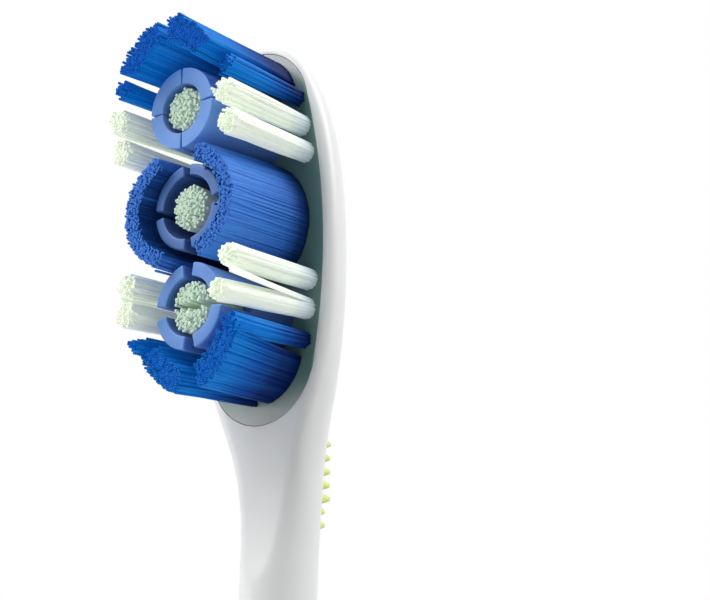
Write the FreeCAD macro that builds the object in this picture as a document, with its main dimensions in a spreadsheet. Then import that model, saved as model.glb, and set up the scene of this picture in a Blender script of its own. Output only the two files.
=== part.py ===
import FreeCAD, Part
import Sketcher
import math
import os

# Manual toothbrush. Millimetres and degrees.
# +Z runs up the neck to the tip of the head, the bristles point to -Y, +X is to the right of
# someone who looks at the bristles. The origin is on the neck's axis where a holder grips it.

driving_sizes = {
    # bristle pattern, on the front of the plate
    "cup_diameter": 6.4,
    "cup_wall": 0.8,
    "cup_height": 8.0,
    "cup_pitch": 7.69,
    "cup_seat_depth": 0.7,
    "slot_width": 0.85,
    "slot_depth": 3.4,
    "tuft_gap": 0.67,
    "edge_margin": 0.87,
    "end_margin": 1.0,
    "foot_flange": 0.12,
    "foot_thickness": 0.4,
    "white_diameter": 1.66,
    "white_flare": 0.17,
    "white_height": 9.9,
    "white_point_length": 0.8,
    "white_point_diameter": 1.5,
    "white_offset": 7.28,
    "white_pitch": 2.22,
    "white_outset": 0.29,
    "white_lean": 0.3,
    "edge_diameter": 1.3,
    "edge_flare": 0.15,
    "edge_height": 9.0,
    "edge_point_length": 0.5,
    "edge_point_diameter": 1.3,
    "edge_inset": 0.35,
    "edge_lean": 0.3,
    "centre_diameter": 2.7,
    "centre_flare": 0.4,
    "centre_height": 8.1,
    "centre_point_length": 0.5,
    "centre_point_diameter": 2.6,
    "middle_gap": 0.6,
    "middle_thickness": 1.3,
    "middle_height": 9.1,
    "middle_span": 128,
    "crescent_radius": 4.1,
    "crescent_thickness": 1.9,
    "crescent_gap": 1.11,
    "tip_crescent_height": 10.6,
    "heel_crescent_height": 8.3,
    "crescent_span": 69,
    "crescent_split": 6,
    "wall_flare": 0.35,
    # plate and head
    "plate_thickness": 1.2,
    "plate_end_radius": 5.2,
    "foot_space": 0.45,
    "seam_gap": 0.06,
    "rim_width": 0.75,
    "rim_round": 0.3,
    "head_rise": 29.5,
    "pattern_shift": 0.5,
    "front_plane": 1.5,
    "head_depth": 5.6,
    "runout_radius": 60.0,
    "runout_drop": 1.2,
    # tongue cleaner
    "cleaner_depth": 0.55,
    "cleaner_half_width": 5.8,
    "cleaner_tip_inset": 1.4,
    "cleaner_tip_radius": 4.2,
    "cleaner_end_radius": 2.1,
    "cleaner_end_rise": 5.8,
    "cleaner_waist_radius": 22.0,
    # neck and handle
    "neck_width": 5.95,
    "neck_flat": 0.3,
    "neck_lean": 0.5,
    "handle_length": 146.0,
    "handle_width": 12.8,
    "handle_flat": 0.8,
    "handle_drop": 2.1,
    # grips moulded over the handle
    "grip_depth": 1.1,
    "grip_proud": 0.3,
    "thumb_width": 8.4,
    "thumb_length": 38.0,
    "thumb_drop": 56.0,
    "thumb_end_radius": 3.4,
    "palm_width": 7.6,
    "palm_length": 82.0,
    "palm_drop": 88.0,
    "palm_end_radius": 3.2,
    "overrun": 2.0,
}

# the head's outline is a rounded oval: stations from its middle to its tip
head_fullness = 2.3
head_station_shares = (0.0, 0.26, 0.5, 0.7, 0.85, 0.94, 0.985)
# from the neck up to the middle of the head: share of the rise, of the neck-to-head change and of the lean
shoulder_shares = (
    (0.0, 0.0, 0.0),
    (0.12, 0.004, 0.4),
    (0.23, 0.03, 0.7),
    (0.33, 0.085, 0.9),
    (0.41, 0.18, 1.0),
    (0.50, 0.385, 1.0),
    (0.60, 0.62, 1.0),
    (0.71, 0.81, 1.0),
    (0.85, 0.95, 1.0),
)
# down the handle: share of the length, of the neck-to-handle change in width, and of the drop
handle_shares = (
    (0.0, 0.0, 0.0),
    (0.07, 0.01, 0.13),
    (0.14, 0.12, 0.35),
    (0.21, 0.42, 0.62),
    (0.29, 0.82, 0.85),
    (0.37, 1.0, 0.97),
    (0.46, 0.95, 1.0),
    (0.55, 0.77, 0.95),
    (0.64, 0.69, 0.88),
    (0.73, 0.76, 0.82),
    (0.82, 0.86, 0.80),
    (0.90, 0.78, 0.80),
    (0.96, 0.52, 0.82),
    (1.0, 0.06, 0.84),
)

# a blue edge tuft stands between the outer white tuft and the end of the crescent
edge_place_share = 0.66

doc = FreeCAD.newDocument("toothbrush")
sheet = doc.addObject("Spreadsheet::Sheet", "sizes")
for row, (alias, number) in enumerate(driving_sizes.items(), start=1):
    sheet.set(f"A{row}", alias)
    sheet.set(f"B{row}", str(number))
    sheet.setAlias(f"B{row}", alias)
reading = doc.addObject("App::FeaturePython", "reading")
reading.addProperty("App::PropertyFloat", "number")
doc.recompute()

# sizes worked out from the sheet, as expressions
cup_radius = "(sizes.cup_diameter / 2)"
plate_half_width = f"({cup_radius} + sizes.tuft_gap + sizes.white_diameter + sizes.edge_margin)"
crescent_reach = f"(sizes.cup_pitch + {cup_radius} + sizes.crescent_gap + sizes.crescent_thickness)"
plate_half_length = f"({crescent_reach} + sizes.end_margin)"
recess_half_width = f"({plate_half_width} + sizes.seam_gap)"
recess_half_length = f"({plate_half_length} + sizes.seam_gap)"
recess_end_radius = "(sizes.plate_end_radius + sizes.seam_gap)"
head_half_width = f"({recess_half_width} + sizes.rim_width)"
head_half_length = f"({recess_half_length} + sizes.rim_width)"
head_axis_y = "(sizes.rim_round - sizes.front_plane)"
head_half_depth = "(sizes.head_depth - sizes.rim_round)"
neck_half_width = "(sizes.neck_width / 2)"
neck_half_depth = f"({neck_half_width} - sizes.neck_flat / 2)"
handle_half_width = "(sizes.handle_width / 2)"
handle_half_depth = f"({handle_half_width} - sizes.handle_flat / 2)"
plate_front_y = "(-sizes.front_plane)"
plate_back_y = "(sizes.plate_thickness - sizes.front_plane)"
recess_depth = "(sizes.plate_thickness + sizes.foot_space)"
pattern_z = "(sizes.head_rise + sizes.pattern_shift)"
quarter_turn = 90
crescent_start = f"({quarter_turn} - sizes.crescent_split - sizes.crescent_span)"
crescent_centre = f"({crescent_reach} - sizes.crescent_radius)"
crescent_end = f"({crescent_centre} + sizes.crescent_radius * sin({crescent_start}))"

toward_bristles = FreeCAD.Rotation(FreeCAD.Vector(1, 0, 0), quarter_turn)
across = FreeCAD.Rotation(FreeCAD.Vector(0, 1, 0), quarter_turn)


def value(expression):
    reading.setExpression("number", expression)
    reading.recompute()
    return reading.number


def add(kind, name, rotation=None, **sizes):
    thing = doc.addObject(kind, name)
    if rotation:
        thing.Placement = FreeCAD.Placement(FreeCAD.Vector(), rotation)
    for prop, expression in sizes.items():
        thing.setExpression(prop.replace("at_", "Placement.Base."), expression)
    return thing


def join(name, pieces):
    joined = doc.addObject("Part::MultiFuse", name)
    joined.Shapes = pieces
    joined.Refine = True
    return joined


def combine(kind, name, base, tool):
    result = doc.addObject(kind, name)
    result.Base = base
    result.Tool = tool
    return result


def loft(name, sections, ruled=False):
    skin = doc.addObject("Part::Loft", name)
    skin.Sections = sections
    skin.Solid = True
    skin.Ruled = ruled
    return skin


# Head and neck, drawn in by an inset so that the same form gives the floor under the soft parts
def head_loft(name, inset):
    sections = []
    for count, (rise_share, change_share, lean_share) in enumerate(shoulder_shares):
        change = f"{change_share} * ({head_half_width} - {neck_half_width})"
        deepening = f"{change_share} * ({head_half_depth} - {neck_half_depth})"
        sections.append(add(
            "Part::Ellipse", f"{name}_shoulder_{count}",
            MajorRadius=f"{neck_half_width} + {change} - {inset}",
            MinorRadius=f"{neck_half_depth} + {deepening} - {inset}",
            at_y=f"{lean_share} * sizes.neck_lean + {change_share} * ({head_axis_y} - sizes.neck_lean)",
            at_z=f"{rise_share} * sizes.head_rise"))
    for count, share in enumerate(head_station_shares):
        width_share = (1 - share ** head_fullness) ** (1 / head_fullness)
        sections.append(add(
            "Part::Ellipse", f"{name}_station_{count}",
            MajorRadius=f"{width_share} * ({head_half_width} - {inset})",
            MinorRadius=f"{width_share} * ({head_half_depth} - {inset})",
            at_y=head_axis_y, at_z=f"sizes.head_rise + {share} * ({head_half_length} - {inset})"))
    sections.append(add(
        "Part::Vertex", f"{name}_tip", Y=head_axis_y,
        Z=f"sizes.head_rise + {head_half_length} - {inset}"))
    return loft(name, sections)


# Handle below the neck, with the same kind of inset, which is negative for a raised skin
def handle_loft(name, inset):
    sections = []
    for count, (length_share, change_share, drop_share) in enumerate(handle_shares):
        widening = f"{change_share} * ({handle_half_width} - {neck_half_width})"
        deepening = f"{change_share} * ({handle_half_depth} - {neck_half_depth})"
        sections.append(add(
            "Part::Ellipse", f"{name}_station_{count}",
            MajorRadius=f"{neck_half_width} + {widening} - {inset}",
            MinorRadius=f"{neck_half_depth} + {deepening} - {inset}",
            at_y=f"-{drop_share} * sizes.handle_drop", at_z=f"-{length_share} * sizes.handle_length"))
    return loft(name, sections)


# A body with one sketch on its XZ plane, moved up by rise and forward by reach
def front_sketch(name, rise, reach):
    body = doc.addObject("PartDesign::Body", name)
    plane = next(feature for feature in body.Origin.OriginFeatures if feature.Role == "XZ_Plane")
    return body, face_sketch(body, plane, f"{name}_outline", rise, reach)


def face_sketch(body, plane, name, rise, reach):
    sketch = body.newObject("Sketcher::SketchObject", name)
    sketch.AttachmentSupport = [(plane, "")]
    sketch.MapMode = "FlatFace"
    sketch.setExpression("AttachmentOffset.Base.y", rise)
    sketch.setExpression("AttachmentOffset.Base.z", reach)
    return sketch


def constrain(sketch, name, expression, *parts):
    sketch.addConstraint(Sketcher.Constraint(*parts, value(expression)))
    sketch.renameConstraint(sketch.ConstraintCount - 1, name)
    sketch.setExpression(f"Constraints.{name}", expression)


def arc(x, y, radius, start, end):
    circle = Part.Circle(FreeCAD.Vector(x, y, 0), FreeCAD.Vector(0, 0, 1), radius)
    return Part.ArcOfCircle(circle, start, end)


def join_arcs(sketch, joints):
    for first, first_end, second, second_end in joints:
        sketch.addConstraint(Sketcher.Constraint("Tangent", first, first_end, second, second_end))


def pad(body, sketch, name, length, backwards=False):
    feature = body.newObject("PartDesign::Pad", name)
    feature.Profile = sketch
    feature.Reversed = backwards
    feature.setExpression("Length", length)
    sketch.Visibility = False
    return feature


# radius of a side arc that bulges to half_width between two end arcs set reach apart from the middle
def side_radius(half_width, reach, end_radius):
    return (f"(({half_width}) ^ 2 + ({reach}) ^ 2 - ({end_radius}) ^ 2)"
            f" / (2 * (({half_width}) - ({end_radius})))")


# Oval of two end arcs and two side arcs, padded into a prism
def oval_prism(name, half_width, half_length, end_radius, rise, reach, depth, backwards=False):
    body, sketch = front_sketch(name, rise, reach)
    end_reach = f"({half_length} - {end_radius})"
    side = side_radius(half_width, end_reach, end_radius)
    tip, flank, end = value(end_reach), value(side), value(end_radius)
    middle = flank - value(half_width)
    turn = math.atan2(tip, middle)
    sketch.addGeometry(arc(-middle, 0, flank, -turn, turn))
    sketch.addGeometry(arc(0, tip, end, turn, math.pi - turn))
    sketch.addGeometry(arc(middle, 0, flank, math.pi - turn, math.pi + turn))
    sketch.addGeometry(arc(0, -tip, end, math.pi + turn, 2 * math.pi - turn))
    join_arcs(sketch, ((0, 2, 1, 1), (1, 2, 2, 1), (2, 2, 3, 1), (3, 2, 0, 1)))
    sketch.addConstraint(Sketcher.Constraint("PointOnObject", 1, 3, -2))
    sketch.addConstraint(Sketcher.Constraint("Symmetric", 1, 3, 3, 3, -1, 1))
    sketch.addConstraint(Sketcher.Constraint("Equal", 1, 3))
    sketch.addConstraint(Sketcher.Constraint("Equal", 0, 2))
    constrain(sketch, "end_reach", end_reach, "DistanceY", -1, 1, 1, 3)
    constrain(sketch, "end_round", end_radius, "Radius", 1)
    constrain(sketch, "side_round", side, "Radius", 0)
    pad(body, sketch, f"{name}_pad", depth, backwards)
    return body


# Outline of the tongue cleaner: tip arc, bulging sides, hollow waist and a round end on the neck
def cleaner_prism(name):
    tip_reach = f"({head_half_length} - sizes.cleaner_tip_inset - sizes.cleaner_tip_radius)"
    end_reach = "(sizes.head_rise - sizes.cleaner_end_rise - sizes.cleaner_end_radius)"
    side = side_radius("sizes.cleaner_half_width", tip_reach, "sizes.cleaner_tip_radius")
    body, sketch = front_sketch(name, "sizes.head_rise", "0")
    tip, end = value(tip_reach), value(end_reach)
    tip_round, end_round = value("sizes.cleaner_tip_radius"), value("sizes.cleaner_end_radius")
    flank, waist = value(side), value("sizes.cleaner_waist_radius")
    middle = flank - value("sizes.cleaner_half_width")
    # the waist arc touches the side arc and the end arc from outside
    span = math.hypot(middle, end)
    along = (span ** 2 + (flank + waist) ** 2 - (end_round + waist) ** 2) / (2 * span)
    aside = math.sqrt((flank + waist) ** 2 - along ** 2)
    waist_x = -middle + (along * middle + aside * end) / span
    waist_y = (-along * end + aside * middle) / span
    at_tip = math.atan2(tip, middle)
    at_side = math.atan2(waist_y, waist_x + middle)
    at_end = math.atan2(waist_y + end, waist_x)
    sketch.addGeometry(arc(0, tip, tip_round, at_tip, math.pi - at_tip))
    sketch.addGeometry(arc(middle, 0, flank, math.pi - at_tip, math.pi - at_side))
    sketch.addGeometry(arc(-waist_x, waist_y, waist, -at_end, -at_side))
    sketch.addGeometry(arc(0, -end, end_round, math.pi - at_end, 2 * math.pi + at_end))
    sketch.addGeometry(arc(waist_x, waist_y, waist, math.pi + at_side, math.pi + at_end))
    sketch.addGeometry(arc(-middle, 0, flank, at_side, at_tip))
    join_arcs(sketch, ((0, 2, 1, 1), (1, 2, 2, 2), (2, 1, 3, 1), (3, 2, 4, 2), (4, 1, 5, 1), (5, 2, 0, 1)))
    for round_arc in (0, 3):
        sketch.addConstraint(Sketcher.Constraint("PointOnObject", round_arc, 3, -2))
    for side_arc in (1, 5):
        sketch.addConstraint(Sketcher.Constraint("PointOnObject", side_arc, 3, -1))
    sketch.addConstraint(Sketcher.Constraint("Equal", 1, 5))
    sketch.addConstraint(Sketcher.Constraint("Equal", 2, 4))
    constrain(sketch, "tip_reach", tip_reach, "DistanceY", -1, 1, 0, 3)
    constrain(sketch, "end_reach", end_reach, "DistanceY", 3, 3, -1, 1)
    constrain(sketch, "tip_round", "sizes.cleaner_tip_radius", "Radius", 0)
    constrain(sketch, "end_round", "sizes.cleaner_end_radius", "Radius", 3)
    constrain(sketch, "side_round", side, "Radius", 1)
    constrain(sketch, "waist_round", "sizes.cleaner_waist_radius", "Radius", 2)
    pad(body, sketch, f"{name}_pad", "sizes.head_depth + sizes.overrun", backwards=True)
    return body


# Soft pad: what an outline prism takes out of a skin, down to the floor form
def inlay(name, prism, skin, floor):
    patch = combine("Part::Common", f"{name}_patch", prism, skin)
    return combine("Part::Cut", name, patch, floor)


# Round bundle: fused foot behind the plate, stem through it, flaring brush with a trimmed tip
def round_tuft(name, family, x, z, lean_x, lean_z):
    radius = f"sizes.{family}_diameter / 2"
    place = {"at_x": x, "at_z": z}
    foot = add("Part::Cylinder", f"{name}_foot", toward_bristles, Radius=f"{radius} + sizes.foot_flange",
               Height="sizes.foot_thickness", at_y=f"{plate_back_y} + sizes.foot_thickness", **place)
    stem = add("Part::Cylinder", f"{name}_stem", toward_bristles, Radius=radius,
               Height="sizes.plate_thickness", at_y=plate_back_y, **place)
    point = f"sizes.{family}_height - sizes.{family}_point_length"
    point_share = value(f"({point}) / sizes.{family}_height")
    rings = (
        ("root", radius, "0", 0),
        ("flare", f"{radius} + sizes.{family}_flare", point, point_share),
        ("point", f"sizes.{family}_point_diameter / 2", f"sizes.{family}_height", 1),
    )
    circles = []
    for part, ring_radius, rise, share in rings:
        circles.append(add(
            "Part::Circle", f"{name}_{part}", toward_bristles, Radius=ring_radius,
            at_x=f"{x} + {share} * {lean_x}", at_y=f"{plate_front_y} - ({rise})",
            at_z=f"{z} + {share} * {lean_z}"))
    join(name, [foot, stem, loft(f"{name}_brush", circles, ruled=True)])
    return stem


# One layer of a curved wall of bristle: a wedge of a cone less the cone inside it
def wall_layer(name, place, turn, span, inner, outer, spread, height, y):
    rotation = toward_bristles.multiply(FreeCAD.Rotation(FreeCAD.Vector(0, 0, 1), turn))
    tapered = spread != "0"
    kind = "Part::Cone" if tapered else "Part::Cylinder"
    layers = []
    for part, radius, sector in (("outer", outer, span), ("inner", inner, "360")):
        sizes = {"Radius1": radius, "Radius2": f"{radius} + {spread}"} if tapered else {"Radius": radius}
        layers.append(add(kind, f"{name}_{part}", rotation, Height=height, Angle=sector,
                          at_y=y, **sizes, **place))
    return combine("Part::Cut", name, *layers)


# Curved wall of bristle with its foot, stem and flaring brush
def wall_tuft(name, z, turn, span, inner, outer, height):
    place = {"at_z": z}
    foot = wall_layer(f"{name}_foot", place, turn, span, f"({inner}) - sizes.foot_flange",
                      f"({outer}) + sizes.foot_flange", "0", "sizes.foot_thickness",
                      f"{plate_back_y} + sizes.foot_thickness")
    stem = wall_layer(f"{name}_stem", place, turn, span, inner, outer, "0",
                      "sizes.plate_thickness", plate_back_y)
    brush = wall_layer(f"{name}_brush", place, turn, span, inner, outer, "sizes.wall_flare",
                       height, plate_front_y)
    join(name, [foot, stem, brush])
    return stem


def ring_sketch(body, name, rise, reach, inner, outer):
    plane = next(feature for feature in body.Origin.OriginFeatures if feature.Role == "XZ_Plane")
    sketch = face_sketch(body, plane, name, rise, reach)
    for index, (edge, radius) in enumerate((("outer", outer), ("inner", inner))):
        sketch.addGeometry(Part.Circle(FreeCAD.Vector(), FreeCAD.Vector(0, 0, 1), value(radius)))
        sketch.addConstraint(Sketcher.Constraint("Coincident", index, 3, -1, 1))
        constrain(sketch, f"{edge}_radius", radius, "Radius", index)
    return sketch


# Polishing cup: a ring seated in the plate, its rim parted in four by two crossed slots
def polishing_cup(name, rise):
    body = doc.addObject("PartDesign::Body", name)
    inner = f"({cup_radius} - sizes.cup_wall)"
    seat_reach = "sizes.front_plane - sizes.cup_seat_depth"
    ring = ring_sketch(body, f"{name}_ring", rise, seat_reach, inner, cup_radius)
    pad(body, ring, f"{name}_wall", "sizes.cup_height + sizes.cup_seat_depth")
    doc.recompute()
    whole = body.Shape.Volume
    plane = next(feature for feature in body.Origin.OriginFeatures if feature.Role == "XZ_Plane")
    slot = face_sketch(body, plane, f"{name}_slot_outline", rise, "sizes.front_plane + sizes.cup_height")
    reach = f"({cup_radius} + sizes.overrun)"
    half_slot = "(sizes.slot_width / 2)"
    far, near = value(reach), value(half_slot)
    corners = [FreeCAD.Vector(x, y, 0) for x, y in ((-far, -near), (far, -near), (far, near), (-far, near))]
    for start, end in zip(corners, corners[1:] + corners[:1]):
        slot.addGeometry(Part.LineSegment(start, end))
    for side in range(4):
        slot.addConstraint(Sketcher.Constraint("Coincident", side, 2, (side + 1) % 4, 1))
    for side, direction in ((0, "Horizontal"), (1, "Vertical"), (2, "Horizontal"), (3, "Vertical")):
        slot.addConstraint(Sketcher.Constraint(direction, side))
    slot.addConstraint(Sketcher.Constraint("Symmetric", 0, 1, 1, 2, -1, 1))
    constrain(slot, "half_reach", reach, "DistanceX", -1, 1, 1, 2)
    constrain(slot, "half_width", half_slot, "DistanceY", -1, 1, 1, 2)
    cut = body.newObject("PartDesign::Pocket", f"{name}_slot")
    cut.Profile = slot
    cut.setExpression("Length", "sizes.slot_depth")
    doc.recompute()
    if body.Shape.Volume >= whole:
        raise ValueError(f"{name}: the slot cuts nothing")
    cross = body.newObject("PartDesign::PolarPattern", f"{name}_slots")
    cross.Originals = [cut]
    cross.Axis = (slot, ["N_Axis"])
    cross.Angle = 2 * quarter_turn
    cross.Occurrences = 2
    body.Tip = cross
    return body


# Groove of a polishing cup's seat in the plate
def cup_seat(name, rise):
    body = doc.addObject("PartDesign::Body", name)
    inner = f"({cup_radius} - sizes.cup_wall)"
    seat_reach = "sizes.front_plane - sizes.cup_seat_depth"
    ring = ring_sketch(body, f"{name}_ring", rise, seat_reach, inner, cup_radius)
    pad(body, ring, f"{name}_groove", "sizes.cup_seat_depth + sizes.overrun")
    return body


# Bristle pattern, mirrored from side to side and from tip to heel
cutters = []
cup_places = {"tip": f"{pattern_z} + sizes.cup_pitch", "middle": pattern_z,
              "heel": f"{pattern_z} - sizes.cup_pitch"}
node_names = ["handle_body", "head_plate", "tongue_cleaner", "thumb_grip", "palm_grip"]
for place_name, rise in cup_places.items():
    polishing_cup(f"polishing_cup_{place_name}", rise)
    cutters.append(cup_seat(f"cup_seat_{place_name}", rise))
    cutters.append(round_tuft(f"centre_tuft_{place_name}", "centre", "0", rise, "0", "0"))
    node_names += [f"polishing_cup_{place_name}", f"centre_tuft_{place_name}"]

white_x = f"({cup_radius} + sizes.tuft_gap + sizes.white_diameter / 2)"
edge_offset = f"(sizes.white_offset + {edge_place_share} * ({crescent_end} - sizes.white_offset))"
for side_name, side in (("right", 1), ("left", -1)):
    for end_name, end in (("tip", 1), ("heel", -1)):
        bundles = (
            ("edge_tuft", "edge", f"({white_x} - sizes.edge_inset)", edge_offset),
            ("white_tuft_outer", "white", white_x, "sizes.white_offset"),
            ("white_tuft_inner", "white", f"({white_x} + sizes.white_outset)",
             "(sizes.white_offset - sizes.white_pitch)"),
        )
        for kind, family, x, offset in bundles:
            node = f"{kind}_{end_name}_{side_name}"
            lean = f"sizes.{family}_lean"
            cutters.append(round_tuft(
                node, family, f"{side} * {x}", f"({pattern_z} + {end} * {offset})",
                f"{side} * {lean}", f"{end} * {lean}"))
            node_names.append(node)
        node = f"{end_name}_crescent_{side_name}"
        start, split = value(crescent_start), value("sizes.crescent_split")
        first_turn = {(1, 1): start, (-1, 1): quarter_turn + split, (1, -1): split - quarter_turn,
                      (-1, -1): 2 * quarter_turn + start}[side, end]
        cutters.append(wall_tuft(
            node, f"{pattern_z} + {end} * {crescent_centre}", first_turn, "sizes.crescent_span",
            "sizes.crescent_radius - sizes.crescent_thickness", "sizes.crescent_radius",
            f"sizes.{end_name}_crescent_height"))
        node_names.append(node)
    node = f"middle_crescent_{side_name}"
    facing = 0 if side > 0 else 2 * quarter_turn
    middle_inner = f"{cup_radius} + sizes.middle_gap"
    cutters.append(wall_tuft(
        node, pattern_z, facing - value("sizes.middle_span") / 2, "sizes.middle_span",
        middle_inner, f"{middle_inner} + sizes.middle_thickness", "sizes.middle_height"))
    node_names.append(node)

# Plate: an oval with a hole for every bundle and a groove for every cup
plate_blank = oval_prism("plate_blank", plate_half_width, plate_half_length, "sizes.plate_end_radius",
                         "sizes.head_rise", f"-{plate_back_y}", "sizes.plate_thickness")
plate_holes = doc.addObject("Part::Compound", "plate_holes")
plate_holes.Links = cutters
combine("Part::Cut", "head_plate", plate_blank, plate_holes)

# Body: head and handle in one, flat in front of the head, with the plate's recess
outer_head = head_loft("outer_head", "0")
outer_handle = handle_loft("outer_handle", "0")
blank = combine("Part::Fuse", "body_blank", outer_head, outer_handle)
face_y = f"{plate_front_y} - sizes.runout_radius"
face_bottom = f"(sizes.head_rise - {head_half_length} - sizes.runout_drop)"
face_height = f"2 * {head_half_length} + sizes.runout_drop + sizes.overrun"
face_width = f"2 * ({head_half_width} + sizes.overrun)"
face_place = {"at_x": f"-({head_half_width} + sizes.overrun)", "at_y": face_y, "at_z": face_bottom}
face_block = add("Part::Box", "face_block", Length=face_width, Width="sizes.runout_radius",
                 Height=face_height, **face_place)
face_runout = add("Part::Cylinder", "face_runout", across, Radius="sizes.runout_radius",
                  Height=face_width, **face_place)
faced = combine("Part::Cut", "faced_blank", blank, join("face_tool", [face_block, face_runout]))
recess = oval_prism("plate_recess", recess_half_width, recess_half_length, recess_end_radius,
                    "sizes.head_rise", f"sizes.front_plane - {recess_depth}",
                    f"{recess_depth} + sizes.overrun")
recessed = combine("Part::Cut", "recessed_blank", faced, recess)

# Soft parts moulded over the body, and the body cut to carry them
cleaner = inlay("tongue_cleaner", cleaner_prism("cleaner_outline"), outer_head,
                head_loft("cleaner_floor", "sizes.cleaner_depth"))
grip_floor = handle_loft("grip_floor", "sizes.grip_depth")
grip_skin = handle_loft("grip_skin", "(-sizes.grip_proud)")
grips = []
for name, backwards in (("thumb", False), ("palm", True)):
    prism = oval_prism(f"{name}_outline", f"sizes.{name}_width / 2", f"sizes.{name}_length / 2",
                       f"sizes.{name}_end_radius", f"-sizes.{name}_drop", "sizes.handle_drop",
                       "sizes.handle_width", backwards)
    grips.append(inlay(f"{name}_grip", prism, grip_skin, grip_floor))
soft_parts = doc.addObject("Part::Compound", "soft_parts")
soft_parts.Links = [cleaner] + grips
combine("Part::Cut", "handle_body", recessed, soft_parts)

doc.recompute()
failed = [thing.Name for thing in doc.Objects if {"Invalid", "Error"} & set(thing.State)]
if failed:
    raise ValueError(f"not built: {failed}")
for node in node_names:
    shape = doc.getObject(node).Shape
    if shape.isNull() or not shape.isValid() or not shape.Solids:
        raise ValueError(f"{node} is no valid solid")

os.makedirs("parts", exist_ok=True)
for node in node_names:
    thing = doc.getObject(node)
    thing.Label = node
    thing.Shape.exportStep(f"parts/{thing.Label}.step")
print(f"{len(node_names)} nodes written")
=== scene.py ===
import math

import bpy
import numpy as np
from mathutils import Matrix, Vector
from mathutils.bvhtree import BVHTree


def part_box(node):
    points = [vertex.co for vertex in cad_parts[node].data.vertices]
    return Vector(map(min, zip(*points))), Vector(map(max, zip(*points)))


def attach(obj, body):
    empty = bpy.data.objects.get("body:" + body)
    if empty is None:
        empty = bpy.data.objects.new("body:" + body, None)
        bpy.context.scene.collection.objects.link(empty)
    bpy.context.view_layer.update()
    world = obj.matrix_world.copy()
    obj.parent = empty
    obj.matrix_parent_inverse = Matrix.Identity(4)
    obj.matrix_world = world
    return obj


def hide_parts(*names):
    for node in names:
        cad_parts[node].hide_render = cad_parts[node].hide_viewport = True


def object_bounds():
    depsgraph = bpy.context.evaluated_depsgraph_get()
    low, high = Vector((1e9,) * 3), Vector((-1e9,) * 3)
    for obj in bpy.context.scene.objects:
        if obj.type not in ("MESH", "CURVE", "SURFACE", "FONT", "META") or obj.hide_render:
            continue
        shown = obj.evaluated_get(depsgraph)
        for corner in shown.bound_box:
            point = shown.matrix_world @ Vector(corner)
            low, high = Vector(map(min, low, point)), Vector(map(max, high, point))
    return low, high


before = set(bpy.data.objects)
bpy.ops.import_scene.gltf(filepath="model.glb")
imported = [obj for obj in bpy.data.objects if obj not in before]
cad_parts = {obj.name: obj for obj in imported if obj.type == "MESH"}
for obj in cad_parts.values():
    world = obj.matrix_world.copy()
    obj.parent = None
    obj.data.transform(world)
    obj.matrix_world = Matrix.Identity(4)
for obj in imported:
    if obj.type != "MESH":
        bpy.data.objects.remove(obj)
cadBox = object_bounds()
mm = 0.001
hair = mm / 100  # what counts as level
weld = mm / 2000  # points nearer than this become one
chance = np.random.default_rng(41)
print("frame loaded:", len(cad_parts), "solids")


# a socket that can be added, multiplied and raised like a number
class Wire:
    def __init__(self, sheet, socket):
        self.sheet = sheet
        self.socket = socket

    def maths(self, operation, first, second):
        return self.sheet.node("ShaderNodeMath", {"operation": operation}, {0: first, 1: second})

    def __add__(self, other):
        return self.maths("ADD", self, other)

    def __rsub__(self, other):
        return self.maths("SUBTRACT", other, self)

    def __mul__(self, other):
        return self.maths("MULTIPLY", self, other)

    def __pow__(self, other):
        return self.maths("POWER", self, other)

    __radd__ = __add__
    __rmul__ = __mul__


# one node tree: a material's, or the world's
class Sheet:
    def __init__(self, tree):
        self.tree = tree

    def put(self, socket, value):
        if isinstance(value, Wire):
            self.tree.links.new(value.socket, socket)
        else:
            socket.default_value = value

    def node(self, kind, settings=None, inputs=None, output=0):
        made = self.tree.nodes.new(kind)
        for key, value in (settings or {}).items():
            if key == "stops":
                ramp = made.color_ramp.elements
                while len(ramp) < len(value):
                    ramp.new(0.5)
                for stop, (place, colour) in zip(ramp, value):
                    stop.position = place
                    stop.color = (*colour, 1)
            else:
                setattr(made, key, value)
        for key, value in (inputs or {}).items():
            self.put(made.inputs[key], value)
        return Wire(self, made.outputs[output])

    def blend(self, factor, first, second):
        return self.node("ShaderNodeMix", {"data_type": "RGBA"},
                         {0: factor, 6: (*first, 1) if isinstance(first, tuple) else first,
                          7: (*second, 1) if isinstance(second, tuple) else second}, output=2)

    def noise(self, place, size, detail):
        return self.node("ShaderNodeTexNoise", None,
                         {"Vector": place, "Scale": 1 / size, "Detail": detail, "Roughness": 0.5})


class Finish(Sheet):
    def __init__(self, name):
        self.material = bpy.data.materials.new(name)
        self.material.use_nodes = True
        super().__init__(self.material.node_tree)
        self.shader = self.tree.nodes["Principled BSDF"]

    def objectPlace(self):
        return self.node("ShaderNodeTexCoord", output="Object")

    def surface(self, **values):
        names = {"colour": "Base Color", "roughness": "Roughness", "normal": "Normal",
                 "specular": "Specular IOR Level", "ior": "IOR", "subsurface": "Subsurface Weight",
                 "subsurfaceReach": "Subsurface Scale", "subsurfaceTint": "Subsurface Radius",
                 "sheen": "Sheen Weight", "sheenRoughness": "Sheen Roughness", "sheenTint": "Sheen Tint",
                 "innerLight": "Emission Color", "innerStrength": "Emission Strength"}
        for key, value in values.items():
            self.put(self.shader.inputs[names[key]], value)
        return self.material

    def bump(self, height, distance, strength):
        return self.node("ShaderNodeBump", None,
                         {"Strength": strength, "Distance": distance, "Height": height})


# Finishes: a slow flow and a fine grain run through the plastics and rubbers
def grained(name, look, detail):
    sheet = Finish(name)
    place = sheet.objectPlace()
    return sheet, sheet.noise(place, look["flow"], 3), sheet.noise(place, look["grain"], detail)


# a start value, and a gain where the pattern is strong
def varied(pair, pattern):
    return pair[0] + pair[1] * pattern


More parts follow.
